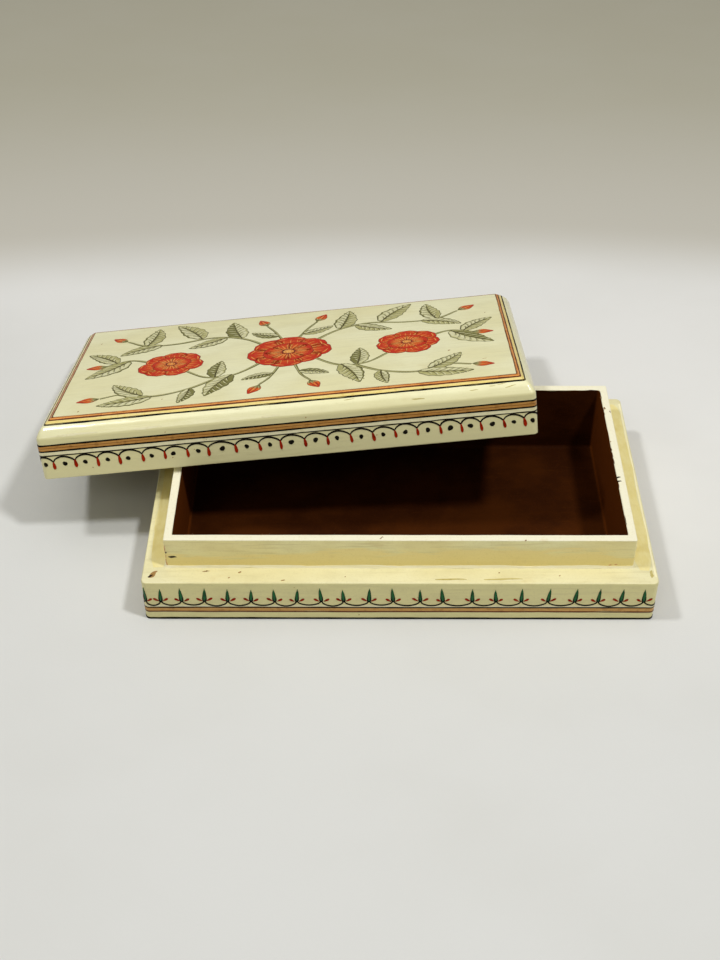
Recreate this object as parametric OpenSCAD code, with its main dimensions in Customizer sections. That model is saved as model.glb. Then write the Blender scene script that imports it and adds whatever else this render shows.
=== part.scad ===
// Painted papier mache box with a lift-off lid.
// Every board is pasted up from paper pulp and glued to its neighbours with butt joints.
// The lid is modelled level, centred over its own underside, and is then laid across the open
// base the way it was put down: on the collar at two places and on the table with one corner.
// Millimetres. +Z is up, and the origin is the middle of the base's underside.

/* [Box] */
// Width of the base and of the lid, left to right
box_w = 228; // [160:1:300]
// Depth of the base and of the lid, front to back
box_d = 131; // [100:1:180]
// Radius of the upright outer corners
corner_r = 2.5; // [0.5:0.5:8]

/* [Base] */
// Thickness of the board under the base
bottom_t = 2.5; // [1.5:0.5:6]
// Height of the outer wall of the base, with its bottom board
plinth_h = 23; // [14:0.5:40]
// Thickness of the outer wall, which is the width of the step round the collar
step_w = 10.3; // [9:0.1:16]
// Thickness of the collar inside the outer wall
collar_t = 3.8; // [2:0.1:6]
// How far the collar stands above the outer wall
collar_h = 16.3; // [12:0.1:24]

/* [Lid] */
// Play between the collar and the inside of the lid, on each side
lid_play = 0.7; // [0.3:0.1:2]
// Room above the collar's rim when the lid is closed
head_room = 1.2; // [0.3:0.1:3]
// Thickness of the lid's top board
top_t = 10.2; // [9:0.1:16]
// Height of the steep lower slope round the top board
slope_h = 5.1; // [2:0.1:5.5]
// Width of the lower slope, seen from above
slope_w = 4.2; // [2:0.1:8]
// How far the middle of the lower slope bulges past a straight slope
slope_bulge = 0.4; // [0.1:0.1:0.6]
// Height of the gentler upper slope, which carries the painted border
border_h = 2.3; // [1:0.1:3]
// Width of the upper slope, seen from above
border_w = 3.3; // [2:0.1:8]

/* [Lid laid across the base] */
// From the back of the lid to the place on its right wall that lies on the collar
touch_from_back = 67; // [50:1:80]
// From the left end of the lid to the place on its front wall that lies on the collar
touch_from_left = 60; // [45:1:80]
// Room left between the corner of the collar and the inside of the lid's top board
corner_room = 1.7; // [1:0.1:4]
// Gap left at each place where the lid lies on something
rest_gap = 0.2; // [0.1:0.1:0.3]

/* [Hidden] */
$fn = 48;

// Sizes that follow from the ones above
rim_z = plinth_h + collar_h;
collar_w = box_w - 2 * step_w;
collar_d = box_d - 2 * step_w;
lid_wall_t = step_w - lid_play;
lid_wall_h = collar_h + head_room;

// The two places on the underside of the level lid that come to lie on the collar
right_touch = [box_w / 2 - lid_wall_t, box_d / 2 - touch_from_back];
front_touch = [touch_from_left - box_w / 2, lid_wall_t - box_d / 2];
// The line through them is the one that the lid tips about
touch_line = right_touch - front_touch;
touch_length = norm(touch_line);
touch_angle = atan2(touch_line[1], touch_line[0]);
// The point of the rounded back left corner that ends up lowest, and how far it is from the line
low_corner = [
    -box_w / 2 + corner_r * (1 - sin(touch_angle)),
    box_d / 2 - corner_r * (1 - cos(touch_angle))
];
low_reach = (low_corner - right_touch) * [-sin(touch_angle), cos(touch_angle)];
// The lid tips until that corner is down on the table
rest_tilt = asin(rim_z / low_reach);
// It lies turned so that the back left corner of the collar stays clear of its top board
corner_reach = (lid_wall_h - corner_room) / sin(rest_tilt);
rest_turn = asin(min(1, 2 * corner_reach / touch_length)) / 2;
// Where its right wall crosses the back of the collar
cross_x = touch_length * cos(rest_turn) - collar_w / 2;
cross_y = collar_d / 2;

cream = "#E6DFAE";
ivory = "#EFE8B8";
buff = "#CDB870";
skirt_cream = "#C9C290";

// A rectangle about the origin with its four corners rounded
module outline(width, depth) {
    square([width - 2 * corner_r, depth], center = true);
    square([width, depth - 2 * corner_r], center = true);
    for (side = [-1, 1], end = [-1, 1])
        translate([side * (width / 2 - corner_r), end * (depth / 2 - corner_r)])
            circle(r = corner_r);
}

// A board across the front or the back: side is -1 for the front and 1 for the back.
// It runs the full width and takes the rounded corners.
module long_board(side, thickness, height) {
    intersection() {
        linear_extrude(height) outline(box_w, box_d);
        translate([-box_w / 2, side * box_d / 2 - (side > 0 ? thickness : 0), 0])
            cube([box_w, thickness, height]);
    }
}

// A board at one end, butted between the front and the back boards
module end_board(side, thickness, height) {
    translate([side * box_w / 2 - (side > 0 ? thickness : 0), thickness - box_d / 2, 0])
        cube([thickness, box_d - 2 * thickness, height]);
}

// Lifts a board of the outer wall on to the bottom board
module base_board(side, long) {
    height = plinth_h - bottom_t;
    translate([0, 0, bottom_t])
        if (long) long_board(side, step_w, height);
        else end_board(side, step_w, height);
}

// A board of the collar, which stands on the bottom board inside the outer wall
module collar_board(side, long) {
    length = long ? collar_w : collar_d - 2 * collar_t;
    outer = (long ? collar_d : collar_w) / 2;
    size = long ? [length, collar_t] : [collar_t, length];
    middle = side * (outer - collar_t / 2);
    place = long ? [0, middle] : [middle, 0];
    translate([place[0], place[1], bottom_t])
        linear_extrude(rim_z - bottom_t) square(size, center = true);
}

// Lays the level lid across the base
module laid_down() {
    translate([cross_x, cross_y, rim_z + rest_gap])
        rotate([0, 0, rest_turn])
            rotate([-rest_tilt, 0, 0])
                rotate([0, 0, -touch_angle])
                    translate([-right_touch[0], -right_touch[1], 0])
                        children();
}

// A slice of the top board, drawn in from the outer edge by inset
module slice(height, inset) {
    thin = 0.01;
    translate([0, 0, height - thin])
        linear_extrude(thin)
            hull() outline(box_w - 2 * inset, box_d - 2 * inset);
}

module bottom_board() {
    color(cream) linear_extrude(bottom_t) outline(box_w, box_d);
}

module base_front_board() {
    color(skirt_cream) base_board(-1, true);
}

module base_back_board() {
    color(skirt_cream) base_board(1, true);
}

module base_left_board() {
    color(skirt_cream) base_board(-1, false);
}

module base_right_board() {
    color(skirt_cream) base_board(1, false);
}

module collar_front() {
    color(buff) collar_board(-1, true);
}

module collar_back() {
    color(buff) collar_board(1, true);
}

module collar_left() {
    color(buff) collar_board(-1, false);
}

module collar_right() {
    color(buff) collar_board(1, false);
}

// The top board has an upright edge below, then a steep bulging slope, then a gentler slope
// up to the flat panel
module lid_top_board() {
    upright_h = top_t - slope_h - border_h;
    color(ivory) laid_down() translate([0, 0, lid_wall_h])
        hull() {
            linear_extrude(upright_h) outline(box_w, box_d);
            slice(upright_h + slope_h / 2 + slope_bulge / 2, slope_w / 2 - slope_bulge);
            slice(upright_h + slope_h, slope_w);
            slice(top_t, slope_w + border_w);
        }
}

module lid_front_board() {
    color(skirt_cream) laid_down() long_board(-1, lid_wall_t, lid_wall_h);
}

module lid_back_board() {
    color(skirt_cream) laid_down() long_board(1, lid_wall_t, lid_wall_h);
}

module lid_left_board() {
    color(skirt_cream) laid_down() end_board(-1, lid_wall_t, lid_wall_h);
}

module lid_right_board() {
    color(skirt_cream) laid_down() end_board(1, lid_wall_t, lid_wall_h);
}

bottom_board();
base_front_board();
base_back_board();
base_left_board();
base_right_board();
collar_front();
collar_back();
collar_left();
collar_right();
lid_top_board();
lid_front_board();
lid_back_board();
lid_left_board();
lid_right_board();
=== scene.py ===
import math
import random

import bmesh
import bpy
import numpy as np
from mathutils import Matrix, Vector


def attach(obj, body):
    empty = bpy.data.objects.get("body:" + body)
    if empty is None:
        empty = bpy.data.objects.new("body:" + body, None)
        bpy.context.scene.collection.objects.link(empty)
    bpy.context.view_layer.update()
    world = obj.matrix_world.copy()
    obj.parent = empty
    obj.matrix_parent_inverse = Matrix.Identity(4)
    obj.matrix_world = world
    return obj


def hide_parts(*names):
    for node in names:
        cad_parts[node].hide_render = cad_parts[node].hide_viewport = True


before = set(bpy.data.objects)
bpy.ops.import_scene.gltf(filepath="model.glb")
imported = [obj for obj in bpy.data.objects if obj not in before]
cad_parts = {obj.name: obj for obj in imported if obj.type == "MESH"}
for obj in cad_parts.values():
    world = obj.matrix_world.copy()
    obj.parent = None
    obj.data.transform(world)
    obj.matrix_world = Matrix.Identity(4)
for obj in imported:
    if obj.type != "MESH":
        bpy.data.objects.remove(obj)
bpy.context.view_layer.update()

mm = 0.001

# The box, in millimetres, as in the CAD source
box = {
    "width": 228, "depth": 131, "cornerRadius": 2.5,
    "bottomThickness": 2.5, "wallHeight": 23, "stepWidth": 10.3,
    "collarThickness": 3.8, "collarHeight": 16.3,
    "lidPlay": 0.7, "headRoom": 1.2, "topThickness": 10.2,
    "slopeHeight": 5.1, "slopeWidth": 4.2, "borderHeight": 2.3, "borderWidth": 3.3,
    "touchFromBack": 67, "touchFromLeft": 60, "cornerRoom": 1.7, "restGap": 0.2,
    "coatInset": 0.2,   # the painted coats lie this far inside the boards' faces
}
coatIn = box["coatInset"]
halfWidth, halfDepth = box["width"] / 2, box["depth"] / 2
rimHeight = box["wallHeight"] + box["collarHeight"]
collarHalfWidth = halfWidth - box["stepWidth"]
collarHalfDepth = halfDepth - box["stepWidth"]
lidWall = box["stepWidth"] - box["lidPlay"]
lidHollow = box["collarHeight"] + box["headRoom"]
lidHeight = lidHollow + box["topThickness"]
slopeTop = lidHeight - box["borderHeight"]
ridgeHeight = slopeTop - box["slopeHeight"]
borderInset = box["slopeWidth"] + box["borderWidth"]


def lidPlace():
    # where the level lid ends up when it's laid across the base, from the same touching points as the CAD
    rightTouch = Vector((halfWidth - lidWall, halfDepth - box["touchFromBack"]))
    frontTouch = Vector((box["touchFromLeft"] - halfWidth, lidWall - halfDepth))
    touchLine = rightTouch - frontTouch
    angle = math.atan2(touchLine.y, touchLine.x)
    r = box["cornerRadius"]
    lowCorner = Vector((r * (1 - math.sin(angle)) - halfWidth, halfDepth - r * (1 - math.cos(angle))))
    lowReach = (lowCorner - rightTouch).dot(Vector((-math.sin(angle), math.cos(angle))))
    tilt = math.asin(rimHeight / lowReach)
    cornerReach = (lidHollow - box["cornerRoom"]) / math.sin(tilt)
    turn = math.asin(min(1, 2 * cornerReach / touchLine.length)) / 2
    crossX = touchLine.length * math.cos(turn) - collarHalfWidth
    return (Matrix.Translation((crossX, collarHalfDepth, rimHeight + box["restGap"]))
            @ Matrix.Rotation(turn, 4, "Z") @ Matrix.Rotation(-tilt, 4, "X")
            @ Matrix.Rotation(-angle, 4, "Z") @ Matrix.Translation((-rightTouch.x, -rightTouch.y, 0)))


lidMatrix = lidPlace()


# Materials. All their sizes are in real millimetres.

def paintColour(code):
    # sRGB hex to linear
    values = [int(code[i:i + 2], 16) / 255 for i in (1, 3, 5)]
    return tuple(v / 12.92 if v <= 0.04045 else ((v + 0.055) / 1.055) ** 2.4 for v in values) + (1,)


def addNode(mat, kind, settings=None, inputs=None):
    node = mat.node_tree.nodes.new("ShaderNode" + kind)
    for name, value in (settings or {}).items():
        setattr(node, name, value)
    for name, value in (inputs or {}).items():
        if isinstance(value, bpy.types.NodeSocket):
            mat.node_tree.links.new(value, node.inputs[name])
        else:
            node.inputs[name].default_value = value
    return node


def addMath(mat, operation, *values):
    return addNode(mat, "Math", {"operation": operation}, dict(enumerate(values))).outputs[0]


def splitUp(mat, vector):
    return addNode(mat, "SeparateXYZ", {}, {0: vector}).outputs


def mapped(mat, vector, scale, **more):
    inputs = {"Vector": vector, "Scale": scale, **more}
    return addNode(mat, "Mapping", {"vector_type": "POINT"}, inputs).outputs[0]


def stretched(mat, vector, scale, detail, rough):
    # noise whose cells are scale mm long along x, y and z
    spread = mapped(mat, vector, tuple(1 / s for s in scale))
    return addNode(mat, "TexNoise", {}, {"Vector": spread, "Scale": 1.0,
                                         "Detail": detail, "Roughness": rough}).outputs[0]


def between(mat, value, low, high, toLow=0.0, toHigh=1.0):
    return addNode(mat, "MapRange", {"interpolation_type": "SMOOTHSTEP"},
                   {0: value, 1: low, 2: high, 3: toLow, 4: toHigh}).outputs[0]


def blend(mat, amount, first, second):
    # first and second are hex codes or sockets
    first, second = [paintColour(c) if isinstance(c, str) else c for c in (first, second)]
    return addNode(mat, "Mix", {"data_type": "RGBA"}, {0: amount, 6: first, 7: second}).outputs[2]


def tint(mat, colour, second, value, *limits):
    # lays the second colour over the first as value goes from the low limit to the high one
    return blend(mat, between(mat, value, *limits), colour, second)


def levelPoints(mat, onLid):
    # object coordinates in millimetres, and for the lid turned back to where it would be level
    place = addNode(mat, "TexCoord").outputs["Object"]
    turned = {}
    if onLid:
        back = lidMatrix.to_3x3().inverted()
        turned = {"Rotation": back.to_euler("XYZ"), "Location": back @ -lidMatrix.to_translation()}
    return mapped(mat, place, (1 / mm,) * 3, **turned)


def endOnFaces(mat, axis):
    # how squarely a face looks along an axis, either way
    normal = addNode(mat, "NewGeometry").outputs["Normal"]
    return addMath(mat, "ABSOLUTE", splitUp(mat, normal)[axis])


def addBump(mat, height, distance, strength=1.0):
    return addNode(mat, "Bump", {}, {"Height": height, "Distance": distance, "Strength": strength}).outputs[0]


def newMaterial(name):
    mat = bpy.data.materials.new(name)
    mat.use_nodes = True
    mat.node_tree.nodes.clear()
    return mat


def finishMaterial(mat, colour, rough, bump, inputs):
    inputs = {"Base Color": colour, "Roughness": rough, "Normal": bump, **inputs}
    shader = addNode(mat, "BsdfPrincipled", {}, inputs)
    addNode(mat, "OutputMaterial", {}, {"Surface": shader.outputs[0]})
    return mat


gessoNoise = {      # cells in mm along x, y and z, then detail and roughness
    "marks": ((24, 1.9, 1.5), 3.0, 0.55),           # brush marks up to 2 mm apart
    "crossMarks": ((1.9, 24, 1.5), 3.0, 0.55),      # and those on the end boards
    "patches": ((52, 38, 26), 2.0, 0.5), "cloudy": ((15, 9, 6), 3.0, 0.6),
    "lowEdge": ((46, 30, 9), 3.0, 0.6), "stain": ((19, 14, 10), 3.0, 0.62),
    "grain": ((0.9, 0.9, 0.9), 2.0, 0.6),           # fine pulp grain under the paint
    "rough": ((8, 5, 5), 3.0, 0.6), "wave": ((14, 11, 8), 1.0, 0.4),
}


def gessoLacquer(name, look, onLid=False):
    # Cream distemper over gesso, brushed on by hand and varnished with clear copal. The eye sees broad soft
    # patches, faint brush marks along the boards, yellowed stains and a slightly wavy gloss.
    mat = newMaterial(name)
    points = levelPoints(mat, onLid)
    noise = lambda key: stretched(mat, points, *gessoNoise[key])
    endOn = between(mat, endOnFaces(mat, 0), 0.55, 0.7)
    marks, grain = noise("marks"), noise("grain")
    brush = addNode(mat, "Mix", {"data_type": "FLOAT"},
                    {0: endOn, 2: marks, 3: noise("crossMarks")}).outputs[0]
    colour = tint(mat, look["main"], look["warm"], noise("patches"), 0.34, 0.68)
    if "wall" in look:      # the upright faces are painted darker and yellower than the level ones: painted shade
        colour = tint(mat, colour, look["wall"], endOnFaces(mat, 2), 0.42, 0.98, 0.95, 0.0)
    colour = tint(mat, colour, look["deep"], noise("cloudy"), 0.4, 0.75, 0.0, look["cloudy"])
    colour = tint(mat, colour, look["deep"], brush, 0.5, 0.78, 0.0, look["streak"])
    if "low" in look:       # thicker and yellower paint low on the wall, thin grey cream above, pale on the rim
        up = splitUp(mat, points)[2]
        edge = addMath(mat, "MULTIPLY_ADD", noise("lowEdge"), look["lowWander"], up)
        edge = addMath(mat, "MULTIPLY_ADD", brush, look["lowFray"], edge)
        colour = tint(mat, colour, look["low"], edge, *look["lowAt"], 0.85, 0.0)
        rim = addMath(mat, "MULTIPLY_ADD", marks, look["rimFray"], up)
        colour = tint(mat, colour, look["rim"], rim, *look["rimAt"], 0.0, 0.95)
    colour = tint(mat, colour, look["stained"], noise("stain"), 0.63, 0.76, 0.0, look["stain"])
    colour = tint(mat, colour, look["deep"], grain, 0.5, 0.75, 0.0, look["grain"])
    rough = between(mat, noise("rough"), 0.3, 0.7, look["rough"] - 0.06, look["rough"] + 0.07)
    height = addMath(mat, "MULTIPLY_ADD", brush, look["markDepth"], noise("wave"))
    bump = addBump(mat, addMath(mat, "MULTIPLY_ADD", grain, 0.12, height), 0.12 * mm)
    return finishMaterial(mat, colour, rough, bump, {
        "IOR": 1.5, "Specular IOR Level": 0.4, "Coat Weight": look["gloss"], "Coat Roughness": 0.11,
        "Coat IOR": 1.52, "Coat Normal": bump})


def mattBrown(name, onLid=False):
    # Dark brown glue paint, brushed thin inside the box and never varnished. The eye sees a dull mottled
    # brown with dry brush streaks and dusty lighter rubs.
    # ends: the lighter colour of the light painted on the end walls
    look = {"main": "#452005", "dark": "#331503", "rubbed": "#5A2E0A", "ends": "#6A340B"}
    mat = newMaterial(name)
    points = levelPoints(mat, onLid)
    mottle = between(mat, stretched(mat, points, (30, 24, 14), 4.0, 0.6), 0.34, 0.68)
    dry = stretched(mat, points, (12, 1.6, 1.6), 3.0, 0.6)
    grain = stretched(mat, points, (0.6, 0.6, 0.6), 2.0, 0.6)
    colour = blend(mat, mottle, look["dark"], look["main"])
    # the two end walls are painted lighter: painted light where the lamps reach them
    colour = tint(mat, colour, look["ends"], endOnFaces(mat, 0), 0.2, 1.0, 0.0, 0.9)
    colour = tint(mat, colour, look["rubbed"], dry, 0.55, 0.8, 0.0, 0.22)
    colour = tint(mat, colour, look["rubbed"], grain, 0.56, 0.75, 0.0, 0.35)
    rough = between(mat, mottle, 0, 1, 0.72, 0.86)
    bump = addBump(mat, addMath(mat, "MULTIPLY_ADD", dry, 0.6, grain), 0.06 * mm)
    return finishMaterial(mat, colour, rough, bump, {"IOR": 1.46, "Specular IOR Level": 0.05})


def brushedPaint(name, main, thin, dense, more, onLid):
    # Mineral colour in gum, laid on with a fine brush and then varnished over. The eye sees thin and thick
    # places along each stroke, and the varnish over all. Each stroke carries the attribute brush:
    # across from -1 to 1, along from 0 to 1, and a tone of its own.
    look = {"load": 2.4, "pooled": 0.6, "gloss": 0.3, "shine": 0.3, **more}
    mat = newMaterial(name)
    points = levelPoints(mat, onLid)
    stroke = addNode(mat, "Attribute", {"attribute_name": "brush"}).outputs["Vector"]
    across, along, tone = splitUp(mat, stroke)
    # hairs of the brush: fine across the stroke and long along it
    hair = addNode(mat, "CombineXYZ", {}, {0: across, 1: tone, 2: 0.0}).outputs[0]
    spread = addNode(mat, "VectorMath", {"operation": "MULTIPLY_ADD"}, {0: points, 1: (0.07,) * 3, 2: hair})
    hairs = addNode(mat, "TexNoise", {}, {"Vector": spread.outputs[0], "Scale": 2.2,
                                          "Detail": 3.0, "Roughness": 0.6}).outputs[0]
    load = stretched(mat, points, (look["load"],) * 3, 2.0, 0.6)
    colour = tint(mat, main, thin, hairs, 0.38, 0.66)
    colour = tint(mat, colour, dense, load, 0.5, 0.72, 0.0, look["pooled"])
    if "tip" in look:       # a second colour towards the far end of the stroke
        reach = addMath(mat, "MULTIPLY_ADD", hairs, 0.5, along)
        colour = tint(mat, colour, look["tip"], reach, *look["tipAt"])
    if "edge" in look:      # and one towards both of its edges
        side = addMath(mat, "MULTIPLY_ADD", hairs, 0.35, addMath(mat, "ABSOLUTE", across))
        colour = tint(mat, colour, look["edge"], side, *look["edgeAt"])
    if "shade" in look:     # one side of a leaf lies in shade
        half = addMath(mat, "MULTIPLY_ADD", hairs, 0.8, across)
        colour = tint(mat, colour, look["shade"], half, 0.1, 0.75, 0.0, 0.85)
    rough = between(mat, load, 0.3, 0.7, 0.3, 0.42)
    return finishMaterial(mat, colour, rough, addBump(mat, hairs, 0.03 * mm), {
        "IOR": 1.5, "Specular IOR Level": look["shine"], "Coat Weight": look["gloss"], "Coat Roughness": 0.14})


# Modelling helpers. Places are in mm.

hairWide = 0.01     # how near a place has to be to count as the same


def addObject(name, data):
    item = bpy.data.objects.new(name, data)
    bpy.context.scene.collection.objects.link(item)
    return item


def setMode(mode):
    bpy.ops.object.mode_set(mode=mode)


def selectAll():
    bpy.ops.mesh.select_all(action="SELECT")


def pick(piece, kind, test):
    # select what passes the test, by its middle
    bpy.ops.mesh.select_mode(type=kind)
    bpy.ops.mesh.select_all(action="DESELECT")
    form = bmesh.from_edit_mesh(piece.data)
    for item in form.faces if kind == "FACE" else form.edges:
        middle = sum((v.co for v in item.verts), Vector((0, 0, 0))) / len(item.verts) / mm
        if test(item, middle):
            item.select_set(True)
    form.select_flush_mode()
    bmesh.update_edit_mesh(piece.data)


def bevelPicked(width, segments):
    bpy.ops.mesh.bevel(offset=width * mm, segments=segments, affect="EDGES")


def raisePicked(height):
    bpy.ops.mesh.extrude_region_move(TRANSFORM_OT_translate={"value": (0, 0, height * mm)})


def startBlock(name, halfX, halfY, low, high):
    bpy.ops.object.select_all(action="DESELECT")
    bpy.ops.mesh.primitive_cube_add(size=1, location=(0, 0, (low + high) / 2 * mm))
    piece = bpy.context.object
    piece.name = piece.data.name = name
    piece.scale = (2 * halfX * mm, 2 * halfY * mm, (high - low) * mm)
    bpy.ops.object.transform_apply(location=True, rotation=True, scale=True)
    setMode("EDIT")
    return piece


def upright(edge):
    step = edge.verts[0].co - edge.verts[1].co
    return abs(step.z) > 0.95 * step.length


def roundCorners(piece, halfX, halfY, radius, segments):
    pick(piece, "EDGE", lambda edge, place: upright(edge) and abs(place.x) > halfX - hairWide
         and abs(place.y) > halfY - hairWide)
    bevelPicked(radius, segments)


def cutLoops(spacing, halfX, halfY, low, high, upSpacing=6):
    # bisect the whole piece at even spacing, so that it has enough loops to be a little uneven
    for step, start, end, normal in ((spacing, -halfX, halfX, (1, 0, 0)), (spacing, -halfY, halfY, (0, 1, 0)),
                                     (upSpacing, low, high, (0, 0, 1))):
        count = max(1, round((end - start) / step))
        for i in range(1, count):
            place = start + (end - start) * i / count
            selectAll()
            bpy.ops.mesh.bisect(plane_co=Vector(normal) * place * mm, plane_no=normal)


def addModifier(piece, kind, **settings):
    modifier = piece.modifiers.new(kind.lower(), kind)
    for name, value in settings.items():
        setattr(modifier, name, value)
    return modifier


def applyAll(piece):
    for modifier in list(piece.modifiers):
        bpy.ops.object.modifier_apply(modifier=modifier.name)


def settle(piece, uneven=0, cloudSize=1):
    # soft hand-made unevenness, then smooth shading that keeps the boards flat
    if uneven > 0:
        cloud = bpy.data.textures.new(piece.name + "_cloud", "CLOUDS")
        cloud.noise_scale = cloudSize * mm
        cloud.noise_depth = 1
        addModifier(piece, "DISPLACE", texture=cloud, texture_coords="LOCAL",
                    strength=uneven * mm, mid_level=0.5)
    addModifier(piece, "WEIGHTED_NORMAL", keep_sharp=True)
    bpy.ops.object.shade_smooth_by_angle(angle=math.radians(38))
    applyAll(piece)


def closeUp():
    # merge, point the faces outwards and leave edit mode
    bpy.ops.mesh.select_mode(type="VERT")
    selectAll()
    bpy.ops.mesh.remove_doubles(threshold=0.002 * mm)
    bpy.ops.mesh.normals_make_consistent(inside=False)
    setMode("OBJECT")


def roundAndCut(piece, look, halfX, halfY, low, high):
    # for a coat with sharp edges all round
    closeUp()
    addModifier(piece, "BEVEL", width=look["edgeRadius"] * mm, segments=3, limit_method="ANGLE",
                angle_limit=math.radians(50))
    applyAll(piece)
    setMode("EDIT")
    cutLoops(look["loops"], halfX, halfY, low, high)
    closeUp()
    settle(piece, look["uneven"], look["cloud"])


def dress(piece, material, body):
    if body == "lid":       # modelled level, and now laid across the base
        piece.data.transform(Matrix.Scale(mm, 4) @ lidMatrix @ Matrix.Scale(1 / mm, 4))
    piece.data.materials.clear()
    piece.data.materials.append(material)
    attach(piece, body)


# Base coat: one skin over the bottom board and the four outer boards

baseLook = {
    # wall: the colour of the shade painted on the upright faces
    "main": "#EFEAC0", "warm": "#E9E1B0", "deep": "#CFC590", "stained": "#DCC88C", "wall": "#E9E1A1",
    "streak": 0.45, "cloudy": 0.3, "stain": 0.3, "grain": 0.24, "rough": 0.4, "markDepth": 0.7, "gloss": 0.1,
    "edgeRadius": 0.6, "uneven": 0.10, "cloud": 26, "loops": 7, "underGap": 0.08,
}


def makeBaseCoat():
    x, y, top = halfWidth - coatIn, halfDepth - coatIn, box["wallHeight"] - coatIn
    piece = startBlock("base_coat", x, y, baseLook["underGap"], top)
    pick(piece, "FACE", lambda face, place: place.z > top - hairWide)
    bpy.ops.mesh.inset(thickness=(box["stepWidth"] + box["collarThickness"] / 2) * mm)
    raisePicked(box["bottomThickness"] - top)
    roundCorners(piece, x, y, box["cornerRadius"], 6)
    roundAndCut(piece, baseLook, halfWidth, halfDepth, 0, box["wallHeight"])
    dress(piece, gessoLacquer("creamGessoVarnished", baseLook), "base")
    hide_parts("bottom_board", "base_front_board", "base_back_board", "base_left_board",
                "base_right_board")


makeBaseCoat()
print("base coat done")


# Collar coat: the thin wall that stands up inside the base

collarLook = {
    "main": "#FEF9C2", "warm": "#FBEFAE", "deep": "#D6C47C", "stained": "#DCC480",
    "low": "#FEEA9B", "rim": "#F8F4DA",
    "lowAt": (44.0, 47.0), "lowWander": 22.0, "lowFray": 6.0, "rimAt": (38.9, 39.35), "rimFray": 0.5,
    "streak": 0.6, "cloudy": 0.3, "stain": 0.3, "grain": 0.18, "rough": 0.46, "markDepth": 0.8, "gloss": 0.04,
    "cornerRadius": 0.9, "edgeRadius": 0.45, "uneven": 0.16, "cloud": 16, "loops": 7, "sunk": 0.2,
}


def makeCollarCoat():
    c = coatIn / 2
    x, y = collarHalfWidth - c, collarHalfDepth - c
    low, high = box["bottomThickness"] - collarLook["sunk"], rimHeight - c
    piece = startBlock("collar_coat", x, y, low, high)
    pick(piece, "FACE", lambda face, place: abs(face.normal.z) > 0.9)
    bpy.ops.mesh.inset(thickness=(box["collarThickness"] - c) * mm, use_individual=True)
    bpy.ops.mesh.bridge_edge_loops()
    roundCorners(piece, x, y, collarLook["cornerRadius"], 4)
    roundAndCut(piece, collarLook, collarHalfWidth, collarHalfDepth, low, high)
    dress(piece, gessoLacquer("buffGessoBrushed", collarLook), "base")
    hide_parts("collar_front", "collar_back", "collar_left", "collar_right")


makeCollarCoat()
print("collar coat done")


# Brown paint inside the tray and inside the lid

insideLook = {
    "coat": 0.32, "proud": 0.17, "fillet": 1.6, "loops": 4,
    # of the brushed edge: mm, and radians for each mm along it
    "wobble": 0.16, "waves": (0.11, 0.23, 0.47, 0.9),
    "belowRim": 0.45, "insideLidEdge": 0.5,
}


def makeInsidePaint(name, halfX, halfY, floor, mouth, body):
    # an open skin: floor is the closed end, mouth is where the brush stopped
    p = insideLook["proud"]
    low, high = sorted((floor + (p if mouth > floor else -p), mouth))
    piece = startBlock(name, halfX - p, halfY - p, low, high)
    pick(piece, "FACE", lambda face, place: abs(place.z - mouth) < hairWide)
    bpy.ops.mesh.delete(type="FACE")
    pick(piece, "EDGE", lambda edge, place: upright(edge) or abs(place.z - floor) < p + hairWide)
    bevelPicked(insideLook["fillet"], 4)
    cutLoops(insideLook["loops"], halfX, halfY, low, high)
    # the brushed edge runs up and down a little
    form = bmesh.from_edit_mesh(piece.data)
    dice = random.Random(name)
    waves = [(k, dice.uniform(0, 6.28)) for k in insideLook["waves"]]
    for v in form.verts:
        if abs(v.co.z / mm - mouth) < hairWide:
            run = (v.co.x + 1.7 * v.co.y) / mm
            v.co.z += insideLook["wobble"] * mm * sum(math.sin(run * k + f) for k, f in waves) / 2
    bmesh.update_edit_mesh(piece.data)
    selectAll()
    bpy.ops.mesh.normals_make_consistent(inside=True)
    setMode("OBJECT")
    addModifier(piece, "SOLIDIFY", thickness=insideLook["coat"] * mm, offset=-1)
    applyAll(piece)
    settle(piece)
    dress(piece, mattBrown(name + "_brown", body == "lid"), body)


makeInsidePaint("tray_paint", collarHalfWidth - box["collarThickness"], collarHalfDepth - box["collarThickness"],
                box["bottomThickness"], rimHeight - insideLook["belowRim"], "base")
makeInsidePaint("lid_inside_paint", halfWidth - lidWall - coatIn, halfDepth - lidWall - coatIn,
                lidHollow, insideLook["insideLidEdge"], "lid")
print("inside paint done")


# Lid coat: walls, upright edge, two slopes and the flat panel in one skin

lidLook = {
    # wall: the colour of the shade painted on the upright faces
    "main": "#FAF8CE", "warm": "#F5F0BE", "deep": "#DAD3A0", "stained": "#E0D29A", "wall": "#DFD8A2",
    "streak": 0.2, "cloudy": 0.22, "stain": 0.24, "grain": 0.16, "rough": 0.34, "markDepth": 1.1, "gloss": 0.55,
    "ridgeRadius": 0.8, "softRadius": 0.5, "uneven": 0.18, "cloud": 24, "loops": 7,
    "slope": ((0, 0), (1.6, 2.85), (2.8, 4.05), (4.2, 5.1)),    # inset and rise of the bulging lower slope
    "cornerRadii": ((0, 2.5), (4.2, 1.2), (7.5, 0.5)),  # inset and plan radius: the corners sharpen upwards
}


def cornerRadiusAt(inset):
    return np.interp(inset, *zip(*lidLook["cornerRadii"]))


def toInset(x, y, inset):
    # moves a point of the outer outline to the outline drawn in by inset, whose corners are tighter
    r = box["cornerRadius"]
    newR = float(cornerRadiusAt(inset))
    moved = []
    for value, half in ((x, halfWidth), (y, halfDepth)):
        centre = max(r - half, min(half - r, value))
        moved.append((centre * (half - inset - newR) / (half - r) + (value - centre) * newR / r) * mm)
    return moved


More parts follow.
